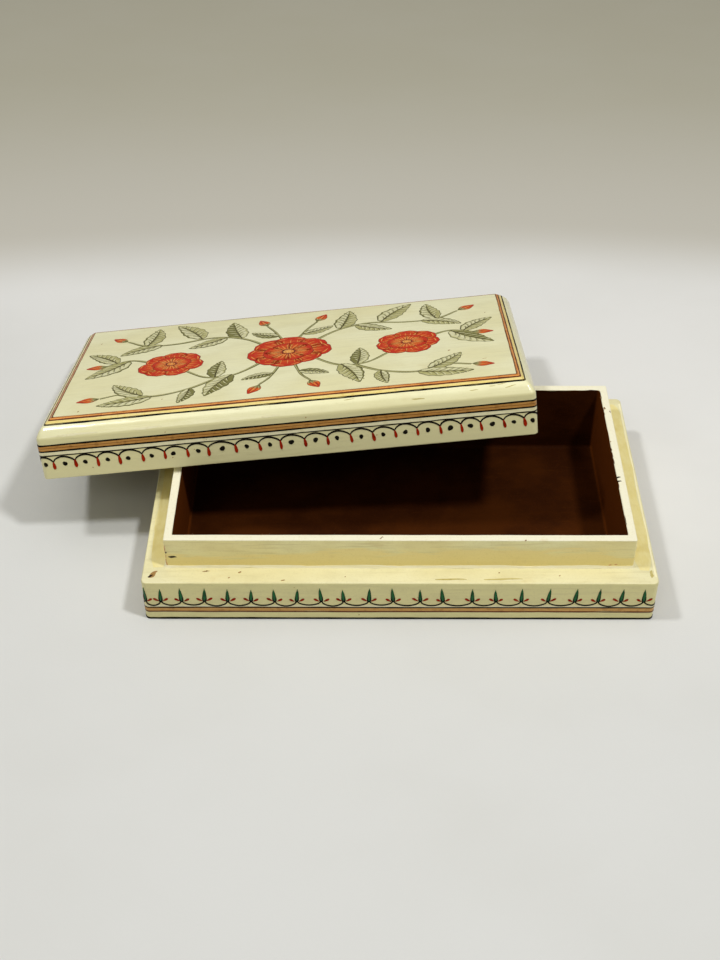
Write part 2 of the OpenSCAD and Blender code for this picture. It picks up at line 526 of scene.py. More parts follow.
def makeLidCoat():
    piece = startBlock("lid_coat", halfWidth, halfDepth, coatIn, ridgeHeight)
    # hollow it from below, then round its corners
    pick(piece, "FACE", lambda face, place: place.z < coatIn + hairWide)
    bpy.ops.mesh.inset(thickness=lidWall * mm)
    raisePicked(lidHollow - coatIn)
    roundCorners(piece, halfWidth, halfDepth, box["cornerRadius"], 6)
    # raise the top loop by loop, drawing it in each time
    loops = [(inset, ridgeHeight + rise) for inset, rise in lidLook["slope"][1:]]
    loops.append((borderInset, lidHeight - coatIn))
    height = ridgeHeight
    outline = {}
    for inset, z in loops:
        pick(piece, "FACE", lambda face, place: place.z > height - hairWide)
        raisePicked(z - height)
        form = bmesh.from_edit_mesh(piece.data)
        below = dict(outline)       # where each point of the outer outline was at the loop below
        for v in form.verts:
            if v.select:
                key = (v.co.x, v.co.y)
                origin = min(below, key=lambda k: math.dist(below[k], key)) if below else key
                outline[origin] = v.co.x, v.co.y = toInset(origin[0] / mm, origin[1] / mm, inset)
        bmesh.update_edit_mesh(piece.data)
        height = z
    # ease the arrises
    for inset, z in [(0, ridgeHeight)] + loops[1:]:
        pick(piece, "EDGE", lambda edge, place: all(abs(v.co.z / mm - z) < hairWide for v in edge.verts))
        bevelPicked(lidLook["softRadius" if inset else "ridgeRadius"], 3)
    pick(piece, "EDGE", lambda edge, place: place.z < coatIn + hairWide and edge.calc_face_angle(0) > 1.2)
    bevelPicked(lidLook["softRadius"], 3)
    cutLoops(lidLook["loops"], halfWidth, halfDepth, 0, ridgeHeight - 1)
    closeUp()
    # the walls come in by the coat's inset, so that the painted strokes stay inside the boards' box
    for v in piece.data.vertices:
        v.co.x *= (halfWidth - coatIn) / halfWidth
        v.co.y *= (halfDepth - coatIn) / halfDepth
    settle(piece, lidLook["uneven"], lidLook["cloud"])
    dress(piece, gessoLacquer("ivoryGessoVarnished", lidLook, True), "lid")
    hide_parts("lid_top_board", "lid_front_board", "lid_back_board", "lid_left_board",
                "lid_right_board")


makeLidCoat()
print("lid coat done")


# Painted strokes. Every stroke is a thin closed slab that lies in the coat and stands just proud of it.
# Its path is drawn flat, in mm, and is then laid on a wall, on the lid's slopes or on a flat face.

slabs = {}
paintings = []
# mm over the coat
layers = {"wash": 0.05, "band": 0.07, "line": 0.10, "mark": 0.12, "top": 0.15, "sunk": -0.15}


def join(*columns):
    return np.stack(columns, axis=1)


def brushForm(segments):
    # modelled once for each number of segments, and 0 to 1 up z: a slab from 0 to 1 along x and from -1 to 1
    # across y, or a disc where there are no segments
    if segments not in slabs:
        bpy.ops.object.select_all(action="DESELECT")
        if segments:
            bpy.ops.mesh.primitive_cube_add(size=1, location=(0.5, 0, 0.5), scale=(1, 2, 1))
        else:
            bpy.ops.mesh.primitive_cylinder_add(vertices=12, radius=1, depth=1, location=(0, 0, 0.5))
        form = bpy.context.object
        bpy.ops.object.transform_apply(location=True, rotation=True, scale=True)
        setMode("EDIT")
        for i in range(1, segments):
            selectAll()
            bpy.ops.mesh.bisect(plane_co=(i / segments, 0, 0), plane_no=(1, 0, 0))
        setMode("OBJECT")
        corners = np.array([v.co[:] for v in form.data.vertices])
        slabs[segments] = (corners, [tuple(face.vertices) for face in form.data.polygons])
        bpy.data.objects.remove(form)
    return slabs[segments]


def newPaints(body, slot, *rows):
    # one piece for each colour on each body; each row has its name and a key of paints
    made = [{"name": name, "colour": colour, "body": body, "slot": slot, "points": [], "faces": [],
             "brush": [], "count": 0, "random": random.Random(name)} for name, colour in rows]
    paintings.extend(made)
    return made


def addCopy(paint, lay, flat, corners, faces, layer, across, along):
    points = lay(*flat.T, layers["sunk"] + corners[:, 2] * (layer - layers["sunk"]))
    tone = np.full(len(corners), paint["random"].random() * 9)
    paint["points"].append(points)
    paint["brush"].append(join(across, along, tone))
    paint["faces"] += [tuple(i + paint["count"] for i in face) for face in faces]
    paint["count"] += len(points)


def addStroke(paint, lay, path, widths, layer):
    # path: points in mm; widths: half width at each of them
    path = np.asarray(path, float)
    widths = np.broadcast_to(np.asarray(widths, float), (len(path),))
    ahead = np.gradient(path, axis=0)
    ahead /= np.maximum(np.linalg.norm(ahead, axis=1), 1e-9)[:, None]
    left = join(-ahead[:, 1], ahead[:, 0])
    corners, faces = brushForm(len(path) - 1)
    along, across = corners[:, 0], corners[:, 1]
    station = np.rint(along * (len(path) - 1)).astype(int)
    flat = path[station] + left[station] * (across * np.maximum(widths[station], 0.03))[:, None]
    addCopy(paint, lay, flat, corners, faces, layer, across, along)


def addDot(paint, lay, centre, radius, layer, uneven=0.12):
    # radius: one, or one for each direction
    corners, faces = brushForm(0)
    x, y = corners[:, 0], corners[:, 1]
    turn = np.arctan2(y, x)
    pull = 1
    for share, lobes in ((1, 2), (0.6, 3)):
        pull = pull + share * uneven * np.sin(lobes * turn + paint["random"].uniform(0, 6))
    addCopy(paint, lay, corners[:, :2] * pull[:, None] * radius + centre, corners, faces, layer,
            x, y * 0.5 + 0.5)


def finishPaint(paint):
    mesh = bpy.data.meshes.new(paint["name"])
    mesh.from_pydata((np.concatenate(paint["points"]) * mm).tolist(), [], paint["faces"])
    brush = mesh.attributes.new("brush", "FLOAT_VECTOR", "POINT")
    brush.data.foreach_set("vector", np.concatenate(paint["brush"]).ravel())
    piece = addObject(paint["name"], mesh)
    bpy.ops.object.select_all(action="DESELECT")
    piece.select_set(True)
    bpy.context.view_layer.objects.active = piece
    setMode("EDIT")
    selectAll()
    bpy.ops.mesh.normals_make_consistent(inside=False)
    setMode("OBJECT")
    bpy.ops.object.shade_smooth_by_angle(angle=math.radians(40))
    body = paint["body"]
    name = paint["colour"] + body.capitalize()
    dress(piece, brushedPaint(name, *paints[paint["colour"]], body == "lid"), body)


# Where a flat drawing goes on the box

def outlineOf(halfX, halfY, radius):
    # a rounded rectangle, run from the middle of the front to the right and round
    x, y = halfX - radius, halfY - radius
    corner = radius * math.pi / 2
    steps = [x, corner, 2 * y, corner, 2 * x, corner, 2 * y, corner, x]
    knots = np.concatenate([[0], np.cumsum(steps)])
    return {"x": x, "y": y, "radius": radius, "steps": steps, "knots": knots, "length": knots[-1],
            "bends": (np.array([0, 1, 1, 1, 1, -1, -1, -1, -1, 0]) * x,
                      np.array([-1, -1, -1, 1, 1, 1, 1, -1, -1, -1]) * y,
                      np.radians([-90, -90, 0, 0, 90, 90, 180, 180, 270, 270])),
            "corners": [(knots[i] + knots[i + 1]) / 2 for i in (1, 3, 5, 7)]}


boxOutline = outlineOf(halfWidth, halfDepth, box["cornerRadius"])
collarOutline = outlineOf(collarHalfWidth, collarHalfDepth, collarLook["cornerRadius"])


def onOutline(outline, run):
    run = np.mod(run, outline["length"])
    return [np.interp(run, outline["knots"], bends) for bends in outline["bends"]]


def layRound(outline, back):
    # run: along the outline, from the middle of the front to the right; height: above the lower edge
    def lay(run, height, proud):
        x, y, turn = onOutline(outline, run)
        radius = outline["radius"] - back + proud
        return join(x + radius * np.cos(turn), y + radius * np.sin(turn), height)
    return lay


def layFlat(level):
    return lambda x, y, proud: join(x, y, level + proud)


layOnWall = layRound(boxOutline, coatIn)
layOnCollar = layRound(collarOutline, coatIn / 2)
layOnStep = layFlat(box["wallHeight"] - coatIn)
layOnRim = layFlat(rimHeight - coatIn / 2)
layOnPanel = layFlat(lidHeight - coatIn)


def layOnBorder(run, inset, proud):
    # inset: from the outer outline, over the lid's upper slope
    x, y, turn = onOutline(boxOutline, run)
    radius = cornerRadiusAt(inset)
    past = inset - box["slopeWidth"]
    high = np.interp(inset, [box["slopeWidth"], borderInset], [slopeTop, lidHeight - coatIn])
    high = np.where(past < 0, slopeTop + past * 0.94, high)
    tilt = np.interp(inset, [3.9, 4.4, 7.3, 7.7], np.radians([44, 33, 33, 0]))
    scaleX, scaleY = [(half - inset - radius) / boxOutline[key] * (half - coatIn) / half
                      for half, key in ((halfWidth, "x"), (halfDepth, "y"))]
    out = radius + proud * np.sin(tilt)
    return join(x * scaleX + out * np.cos(turn), y * scaleY + out * np.sin(turn), high + proud * np.cos(tilt))


def layOnSlope(run, inset, proud):
    # the lower slope at the lid's front
    high = ridgeHeight + np.interp(inset, *zip(*lidLook["slope"]))
    return join(run, inset + coatIn - halfDepth - proud * 0.7, high + proud * 0.7)


# Lines and scallops

def wander(dice, amount, *lengths, closing=None):
    # a slow unsteady hand: waves of about the given lengths, amount mm in all, which meet where a line closes
    if closing:
        lengths = [closing / round(closing / length) for length in lengths]
    waves = [(2 * math.pi / length, dice.uniform(0, 6.28), 1 / (i + 1)) for i, length in enumerate(lengths)]
    total = sum(a for k, f, a in waves)
    return lambda s: amount * sum(a * np.sin(k * s + f) for k, f, a in waves) / total


def runPoints(outline, spacing):
    # even steps along the straights and finer round the corners, from the middle of the back right round
    points = []
    for i, step in enumerate(outline["steps"]):
        count = max(2, math.ceil(step / (0.65 if i % 2 else spacing)))
        points += [outline["knots"][i] + step * k / count for k in range(count)]
    points = np.array(points)
    half, length = outline["length"] / 2, outline["length"]
    turned = [points[points > half + 0.1], points[points < half - 0.1] + length]
    return np.concatenate([[half], *turned, [half + length]])


def addLine(paint, lay, height, halfWide, layer, unsteady):
    # a line drawn right round the box
    dice, length = paint["random"], boxOutline["length"]
    run = runPoints(boxOutline, 3.5)
    place = height + wander(dice, unsteady, 150, 61, 23, 9, closing=length)(run)
    wide = halfWide * (1 + wander(dice, 0.22, 33, 12, 5, closing=length)(run))
    addStroke(paint, lay, join(run, place), wide, layer)


def roundTheBox(front, pitch, dice, jitter):
    # spots measured along the front and others like them along the other three sides, each with the next one
    length = boxOutline["length"]
    turns = [front[-1] + pitch / 2, *boxOutline["corners"][1:3], front[0] + length - pitch / 2]
    spots = list(front)
    for start, end in zip(turns, turns[1:]):
        count = max(1, round((end - start) / pitch))
        step = (end - start) / count
        spots += [start + step * (i + 0.5) + dice.uniform(-jitter, jitter) for i in range(count)]
    order = sorted(s % length for s in spots)
    return zip(order, order[1:] + [order[0] + length])


def swing(start, end, level, rise, count, lean, steep):
    # one scallop from cusp to cusp
    t = np.linspace(0, 1, count)
    return join(start + (end - start) * t, level + rise * np.sin(np.pi * t ** lean) ** steep)


# Ornament on the lid's walls

lidBand = {
    # lines: height, half width, mm over the coat and unsteadiness
    "band": (15.5, 1.44, 0.07, 0.08), "pale": (12.9, 0.95, 0.05, 0.05), "upperLine": (17.0, 0.37, 0.1, 0.12),
    "lowerLine": (14.0, 0.36, 0.1, 0.12), "thinLine": (11.8, 0.25, 0.1, 0.15), "streak": (15.55, 0.08, 0.1, 0.18),
    "scallopTop": 11.25, "scallopHalf": 0.31, "cusp": 8.8, "dotHeight": 7.5, "dotRadius": 1.12,
    "dropTop": 8.9, "dropBottom": 4.8, "dropHalf": 0.76, "pitch": 10.2, "jitter": 0.45,
    "drop": np.array([0.3, 0.55, 0.72, 0.86, 0.95, 1.0, 0.98, 0.8, 0.3]),
    "cusps": (-115.6, -107.7, -97.7, -87.3, -77.3, -66.6, -56.3, -45.9, -36.2, -23.8, -12.9, -3.1,
              8.0, 18.4, 28.9, 39.0, 49.1, 59.2, 69.6, 79.1, 87.9, 98.3, 107.6, 115.6),
    "dots": (-111.3, -102.4, -93.0, -82.6, -73.2, -62.3, -52.3, -40.8, -29.7, -18.5, -7.9, 1.9,
             13.0, 22.8, 33.8, 43.8, 53.9, 64.1, 74.3, 83.4, 93.3, 103.0, 111.5),
}
# lid_pale_scuffs also holds the highlight painted along the lid's ridge
lidBlack, lidOchre, lidRed, lidUmber, lidPaleAndRidgeHighlight = newPaints(
    "lid", "lid_lacquer", ("lid_black_lines", "lampBlack"), ("lid_ochre_band", "ochreBrown"),
    ("lid_red_drops", "vermilion"), ("lid_umber_lines", "burntUmber"), ("lid_pale_scuffs", "paleScuff"))


def paintLidWalls():
    b, dice, length = lidBand, lidBlack["random"], boxOutline["length"]
    for paint, key in ((lidOchre, "band"), (lidPaleAndRidgeHighlight, "pale"), (lidBlack, "upperLine"), (lidBlack, "lowerLine"),
                       (lidBlack, "thinLine"), (lidUmber, "streak")):
        addLine(paint, layOnWall, *b[key])
    measured = [dot % length + lap for dot in b["dots"] for lap in (0, length)]
    corners = [b["cusps"][end] % length for end in (0, -1)]
    for spot, following in roundTheBox(b["cusps"], b["pitch"], dice, b["jitter"]):
        rise = b["scallopTop"] - b["cusp"] + dice.uniform(-0.22, 0.2)
        arc = swing(spot, following, b["cusp"] + dice.uniform(-0.15, 0.15), rise, 11, 0.88, 0.72)
        wide = 1 + 0.35 * np.sin(np.linspace(0.2, 2.9, len(arc)) + dice.uniform(-0.5, 0.5))
        addStroke(lidBlack, layOnWall, arc, b["scallopHalf"] * wide, layers["mark"])
        middle = spot + (following - spot) * dice.uniform(0.46, 0.58)
        middle = next((dot for dot in measured if spot < dot < following), middle)
        dot = (middle, b["dotHeight"] + dice.uniform(-0.25, 0.25))
        size = b["dotRadius"] * dice.uniform(0.88, 1.1)
        addDot(lidBlack, layOnWall, dot, (size, size * dice.uniform(0.9, 1.08)), layers["mark"])
        if spot in corners:     # no drop hangs right on a corner
            continue
        top, bottom = b["dropTop"] + dice.uniform(-0.35, 0.3), b["dropBottom"] + dice.uniform(-0.35, 0.4)
        lean = dice.uniform(0.1, 0.75)
        t = np.linspace(0, 1, 9)
        fall = join(spot + lean * t + 0.1 * np.sin(3 * t), top + (bottom - top) * t)
        addStroke(lidRed, layOnWall, fall, b["dropHalf"] * b["drop"] * dice.uniform(0.85, 1.12), layers["top"])


paintLidWalls()


# Painted border on the lid's upper slope

lidBorder = {       # inset, half width, mm over the coat and unsteadiness
    "yellowBand": (5.27, 0.95, 0.07, 0.05), "salmonBand": (6.845, 0.58, 0.07, 0.05),
    "outerLine": (4.3, 0.36, 0.1, 0.1), "middleLine": (6.24, 0.34, 0.1, 0.1), "innerLine": (7.45, 0.32, 0.1, 0.14),
}
lidYellow, lidSalmon = newPaints(
    "lid", "lid_lacquer", ("lid_yellow_band", "naplesYellow"), ("lid_salmon_band", "salmonEarth"))
for paint, line in zip((lidYellow, lidSalmon, lidBlack, lidUmber, lidUmber), lidBorder.values()):
    addLine(paint, layOnBorder, *line)
addDot(lidBlack, layOnPanel, (-105.8, -57.4), (0.5, 0.42), 0.16)    # a blot in the front left corner


# Ornament on the base's walls

baseBand = {
    # lines: height, half width, mm over the coat and unsteadiness
    "band": (6.35, 1.05, 0.07, 0.1), "pale": (8.35, 0.72, 0.05, 0.05), "footLine": (0.62, 0.48, 0.1, 0.02),
    "upperLine": (7.6, 0.34, 0.1, 0.12), "redLine": (4.95, 0.36, 0.1, 0.12),
    "scallopLow": 8.8, "scallopHalf": 0.3, "cusp": 11.6, "pitch": 10.5, "jitter": 0.5,
    "leafFrom": 11.3, "leafTo": 18.9, "leaf": 0.64 * np.array([0.3, 0.66, 0.92, 1.0, 0.95, 0.8, 0.6, 0.36, 0.08]),
    "leafFoot": np.array([0.5, 0.5, 0.4, 0.28, 0.22, 0.22, 0.26, 0.24, 0.1]),   # the black that shows round it
    "redOut": 0.95, "redFrom": 11.6, "red": 0.6 * np.array([0.22, 0.5, 0.8, 1.0, 0.95, 0.45]),
    "leaves": (-112.8, -105.9, -96.6, -86.5, -76.2, -65.8, -55.3, -45.6, -34.6, -24.7, -13.5,
               -2.7, 9.3, 19.3, 32.3, 42.8, 54.0, 65.7, 77.6, 87.9, 98.0, 108.2),
}
baseBlack, baseOchre, baseUmber, baseGreen, baseRed, basePale = newPaints(
    "base", "base_lacquer", ("base_black_lines", "lampBlack"), ("base_ochre_band", "ochreLight"),
    ("base_umber_line", "burntUmber"), ("base_green_leaves", "viridian"), ("base_red_strokes", "vermilion"),
    ("base_pale_scuffs", "paleScuff"))


def paintBaseWalls():
    b, dice = baseBand, baseBlack["random"]
    for paint, key in ((baseOchre, "band"), (basePale, "pale"), (baseBlack, "footLine"), (baseBlack, "upperLine"),
                       (baseUmber, "redLine")):
        addLine(paint, layOnWall, *b[key])
    for spot, following in roundTheBox(b["leaves"], b["pitch"], dice, b["jitter"]):
        sag = b["scallopLow"] - b["cusp"] + dice.uniform(-0.15, 0.25)
        arc = swing(spot, following, b["cusp"] + dice.uniform(-0.2, 0.2), sag, 13, 1, 0.55)
        wide = b["scallopHalf"] * (1 + 0.3 * np.sin(3 * np.linspace(0, 1, 13)))
        addStroke(baseBlack, layOnWall, arc, wide, layers["mark"])
        # the leaf leans a little one way or the other, on a black foot that shows round its lower half
        lean = math.tan(math.radians(dice.uniform(-6, 6)))
        low, high = b["leafFrom"] + dice.uniform(-0.2, 0.3), b["leafTo"] + dice.uniform(-0.7, 0.5)
        t = np.linspace(0, high - low, 9)
        rise = join(spot + lean * t, low + t)
        wide = b["leaf"] * dice.uniform(0.85, 1.1)
        addStroke(baseBlack, layOnWall, rise - [0, 0.25], wide + b["leafFoot"], layers["mark"])
        addStroke(baseGreen, layOnWall, rise + [0, 0.5], wide, layers["top"])
        for side in (-1, 1):    # two red strokes spring from its foot
            out = spot + side * (b["redOut"] + dice.uniform(-0.15, 0.15))
            up = b["redFrom"] + dice.uniform(-0.2, 0.2)
            length, t = dice.uniform(2.3, 3.0), np.linspace(0, 1, 6)
            curve = join(out + side * length * 0.86 * t, up + length * 0.6 * t ** 1.15)
            addStroke(baseRed, layOnWall, curve, b["red"], layers["mark"])


paintBaseWalls()
print("ornament on the walls done")


# Where the collar meets the step, the shade and highlight painted on the step, and wear

joint = {
    "low": 22.7, "high": 23.9, "foot": 0.95, "collarShadeHalf": 3.9,
    "wash": ((-1, -55.5, 57, 107.3), (1, -57, 60.5, 108.4)),    # side, from and to along y, and its middle's x
    "backCollarShade": (57.6, 1.5), "wornEdge": (112.75, 0.4),     # place and half width
}
# step_buff_wash holds the collar's shade painted on the step
# step_gesso_fillet also holds the highlight painted along the step's right edge
jointGessoAndHighlight, jointShade = newPaints(
    "base", "base_lacquer", ("step_gesso_fillet", "gessoFillet"), ("step_buff_wash", "buffWash"))


def layOnJoint(run, height, proud):
    # a soft fillet: its foot stands out on the step and its upper edge dies into the collar
    out = np.interp(height, [joint["low"], joint["high"]], [joint["foot"], 0.05])
    return layOnCollar(run, height, np.where(proud > 0, out, -0.6))


def paintJoint():
    dice, around = jointGessoAndHighlight["random"], collarOutline["length"]
    run = runPoints(collarOutline, 3.0)
    height = (joint["low"] + joint["high"]) / 2 - 0.05 + wander(dice, 0.3, 47, 19, 7, closing=around)(run)
    half = (joint["high"] - joint["low"]) / 2 * (1 + wander(dice, 0.3, 31, 13, 6, closing=around)(run))
    addStroke(jointGessoAndHighlight, layOnJoint, join(run, height), half, 0.5)
    # buff strips on the step along the collar's foot at both ends: the collar's shade painted in a warm buff
    for side, start, end, middle in joint["wash"]:
        y = np.linspace(start, end, 41)
        x = side * (middle + wander(dice, 0.35, 60, 21, 8)(y))
        wide = joint["collarShadeHalf"] * (1 + wander(dice, 0.1, 40, 15, 6)(y))
        wide[:3] *= (0.5, 0.8, 0.95)
        wide[-3:] *= (0.95, 0.8, 0.4)
        addStroke(jointShade, layOnStep, join(x, y), wide, layers["wash"])
    y = np.linspace(-61, 61, 41)        # a pale strip along the step's outer edge at the right end: a painted highlight
    edge, half = joint["wornEdge"]
    addStroke(jointGessoAndHighlight, layOnStep, join(edge + wander(dice, 0.12, 40, 13)(y), y), half, 0.04)
    # and one just behind the collar: more of its shade painted on the step
    x = np.linspace(-98, 99, 61)
    middle, half = joint["backCollarShade"]
    path = join(x, middle + wander(dice, 0.3, 50, 17, 7)(x))
    addStroke(jointShade, layOnStep, path, half * (1 + wander(dice, 0.3, 33, 12)(x)), layers["wash"])


paintJoint()

baseChips, baseHoles, baseOlive = newPaints(
    "base", "base_lacquer", ("base_brown_chips", "barePulp"), ("base_dark_chips", "darkPulp"),
    ("base_scuff_edges", "oliveScuff"))
rimChips, rimBrown, crackRed = newPaints(
    "base", "collar_paint", ("rim_brown_chips", "rimPulp"), ("rim_brown_lapping", "trayBrown"),
    ("collar_red_crack", "redClay"))
lidChips, lidOlive = newPaints(
    "lid", "lid_lacquer", ("lid_brown_specks", "barePulp"), ("lid_slope_scratches", "oliveScuff"))

chipShape = np.array([0.25, 0.7, 0.95, 1.0, 0.9, 0.8, 0.55, 0.2])


def addChips(paint, lay, layer, *chips):
    # irregular flakes, long in one direction: x, y, length, width and angle
    dice = paint["random"]
    for x, y, length, wide, angle in chips:
        ahead = np.array([math.cos(math.radians(angle)), math.sin(math.radians(angle))])
        t = np.linspace(-0.5, 0.5, len(chipShape))
        path = np.outer(t * length, ahead) + np.outer(np.sin(t * 6), [-ahead[1], ahead[0]]) * wide * 0.15
        half = wide / 2 * chipShape * [dice.uniform(0.8, 1.15) for _ in t]
        addStroke(paint, lay, path + [x, y], half, layer)


def paintWear():
    # the chips and scuffs that the front and the rim show, from the left to the right
    addChips(baseChips, layOnStep, 0.09, (-108.9, -59.8, 5.2, 2.1, 48), (-85.6, -57.9, 3.2, 0.5, 4),
             (-85.4, -57.8, 1.0, 0.8, 0), (-70.6, -58.5, 1.5, 0.8, 10), (-75.2, -61.9, 0.9, 0.6, 0),
             (-51.3, -63.4, 2.0, 0.6, 3), (44, -58.6, 0.8, 0.5, 0), (-24, -61.2, 0.7, 0.4, 20),
             (70.5, -60.4, 0.8, 0.5, 0))
    addChips(baseHoles, layOnStep, 0.11, (-109.9, -60.9, 2.6, 1.1, 30))
    addChips(basePale, layOnStep, 0.05, (23.5, -63.35, 14, 0.765, 0), (46.5, -63.25, 17, 0.81, 1))
    addChips(baseOlive, layOnStep, 0.07, (22.5, -62.7, 14, 0.935, 0), (45.5, -62.6, 17, 0.99, 1))
    addChips(baseOlive, layOnStep, 0.06, (111.1, -59.3, 4.6, 1.5, 82))
    # on the collar's front x is the run, and y the height
    addChips(baseHoles, layOnCollar, 0.08, (-100.2, 29.0, 3.6, 1.1, -5))
    addDot(baseHoles, layOnCollar, (-102.9, 31.6), 0.42, 0.08)
    addChips(crackRed, layOnCollar, 0.06, (95.7, 24.6, 1.4, 0.35, 5), (93.2, 24.3, 1.4, 0.35, 5))
    unsteady = wander(crackRed["random"], 0.35, 7, 3, 1.4)
    for low, high in ((23.8, 27.4), (28.6, 29.9), (31.2, 35.6)):        # the crack where two boards meet
        z = np.linspace(low, high, 9)
        addStroke(crackRed, layOnCollar, join(unsteady(z) - 103.2, z), 0.13 + 0.08 * np.sin(z * 2.1), 0.06)
    addChips(rimChips, layOnRim, 0.045, (-60.4, -51.5, 1.2, 0.5, 10), (-8.3, -53.7, 1.5, 0.5, 40),
             (-7.6, -52.9, 0.9, 0.35, -50), (54.8, -54.9, 0.8, 0.6, 0), (99.9, 45.4, 1.6, 0.8, 70),
             (100.6, 37.1, 1.8, 0.9, 80), (102.9, 34.4, 1.6, 0.5, 100), (100.3, 12.0, 0.9, 0.4, 80))
    # two notches in the rim's inner edge
    addChips(baseHoles, layOnRim, 0.05, (100.6, -13.4, 2.2, 0.9, 4), (100.6, -16.1, 2.2, 0.9, -4))
    dice = random.Random("lapping")     # the brown laps over the rim's inner edge here and there
    for _ in range(11):
        addChips(rimBrown, layOnRim, 0.045,
                 (100.0, dice.uniform(-50, 50), dice.uniform(1.6, 5), dice.uniform(0.16, 0.36), 90),
                 (dice.uniform(-98, 98), -51.45, dice.uniform(1.2, 5), dice.uniform(0.2, 0.4), 0))
    addChips(lidChips, layOnPanel, 0.06, (77.7, -19.4, 1.2, 0.9, 0), (66.1, -46.6, 1.2, 0.7, 30),
             (-94.8, -53.4, 1.4, 0.5, 60), (-56.6, -47.7, 0.8, 0.5, 0), (98.6, 30.1, 1.0, 0.4, 70),
             (-99.3, 38.2, 1.1, 0.5, 20), (93.4, -34.5, 2.4, 0.3, 12))
    # a few specks of dirt under the varnish on all the walls
    dice = random.Random("specks")
    for paint, low, high, count in ((baseChips, 1.5, 22, 34), (lidChips, 1, 19.5, 26)):
        for _ in range(count):
            size = dice.uniform(0.16, 0.34)
            place = (dice.uniform(0, boxOutline["length"]), dice.uniform(low, high))
            addDot(paint, layOnWall, place, (size, size * dice.uniform(0.6, 1)), 0.05, 0.3)
    # pale strokes along the lid's lower slope, most of them by the ridge where they paint its highlight, then
    # olive scratches; x and inset
    addChips(lidPaleAndRidgeHighlight, layOnSlope, 0.05, (-96, 0.5, 22, 0.5, 0), (-62, 0.4, 14, 0.5, 0), (-20, 3.5, 5, 0.5, -2),
             (-6, 0.5, 9, 0.5, 0))
    addChips(lidOlive, layOnSlope, 0.05, (98.8, 3.6, 4, 0.3, 5), (94.6, 3.1, 3, 0.3, -3), (102.6, 2.4, 5, 0.3, 8),
             (86.2, 2.2, 4, 0.3, 0), (30, 3.1, 5, 0.3, 2), (61, 1.2, 6, 0.3, -2))


paintWear()
print("joint and wear done")


# A generic floral spray on the lid's panel: three rosettes on mirrored stems

spray = {
    "rosettes": ((0, 0, 20, 8), (-58, -2, 15.5, 7), (58, -2, 15.5, 7)),     # x, y, radius and petals
    "leafWide": 0.215, "budLength": 9.6, "budWide": 0.28,
    "stems": (      # half width, then the places that it runs through
        (0.62, (8, -5), (24, -24), (38, -25), (50, -13)),
        (0.62, (9, 8), (24, 25), (40, 31), (58, 27), (74, 28), (85, 37)),
        (0.62, (66, 1), (78, 8), (86, 6), (91, 3)),
        (0.62, (32, -26), (46, -38), (62, -43), (76, -37), (87, -40)),
        (0.45, (2, 12), (8, 30), (13, 41)), (0.45, (2, -10), (7, -31), (12, -41))),
    "leaves": (     # x, y, angle, bend and length
        (26, -24, -66, -20, 27), (34, -26, 88, 14, 22), (25, 26, 74, 15, 27), (33, 29.5, -38, 20, 21),
        (46, 31, 62, -25, 27), (66, 27, -26, -24, 22), (74, 28, 102, -22, 25), (86, 6, 50, -30, 22),
        (80, 8, -50, 26, 28), (45, -37.5, -84, 24, 17), (62, -43, -12, 20, 26), (67, -41, 42, 24, 23),
        (6, 24, 24, 30, 17), (6, -28, -14, -28, 15)),
    "buds": ((86, 38, 36), (91, 3, -6), (88, -40, -12), (13, 42, 64), (12, -42, -64)),      # x, y and angle
    "petal": np.array([0.10, 0.17, 0.26, 0.37, 0.50, 0.63, 0.76, 0.88, 0.97, 1.0, 0.95, 0.76, 0.36]),
    "bud": np.array([0.25, 0.62, 0.88, 1.0, 0.98, 0.84, 0.6, 0.34, 0.08]),
}
petalDark, petalRed, petalFine, petalGlow, leafDark, leafSage, leafFine, leafGlow = newPaints(
    "lid", "lid_lacquer", ("spray_petal_outline", "petalOutline"), ("spray_petals", "petalRed"),
    ("spray_petal_strokes", "petalStroke"), ("spray_petal_lights", "petalLight"),
    ("spray_leaf_outline", "leafOutline"), ("spray_leaves", "leafSage"), ("spray_leaf_veins", "leafVein"),
    ("spray_leaf_lights", "leafLight"))


def onPanel(paint, path, widths, layer):
    addStroke(paint, layOnPanel, path, widths, layer)


def facing(angle):
    return np.array([math.cos(angle), math.sin(angle)])


def curveThrough(points, count):
    # a smooth path through a few points
    points = np.asarray(points, float)
    fine = np.linspace(0, len(points) - 1, count)
    p = np.vstack([2 * points[0] - points[1], points, 2 * points[-1] - points[-2]])
    i = np.minimum(fine.astype(int), len(points) - 2)
    u = (fine - i)[:, None]
    a, b, c, d = p[i], p[i + 1], p[i + 2], p[i + 3]
    return 0.5 * (2 * b + (c - a) * u + (2 * a - 5 * b + 4 * c - d) * u ** 2 + (3 * b - a - 3 * c + d) * u ** 3)


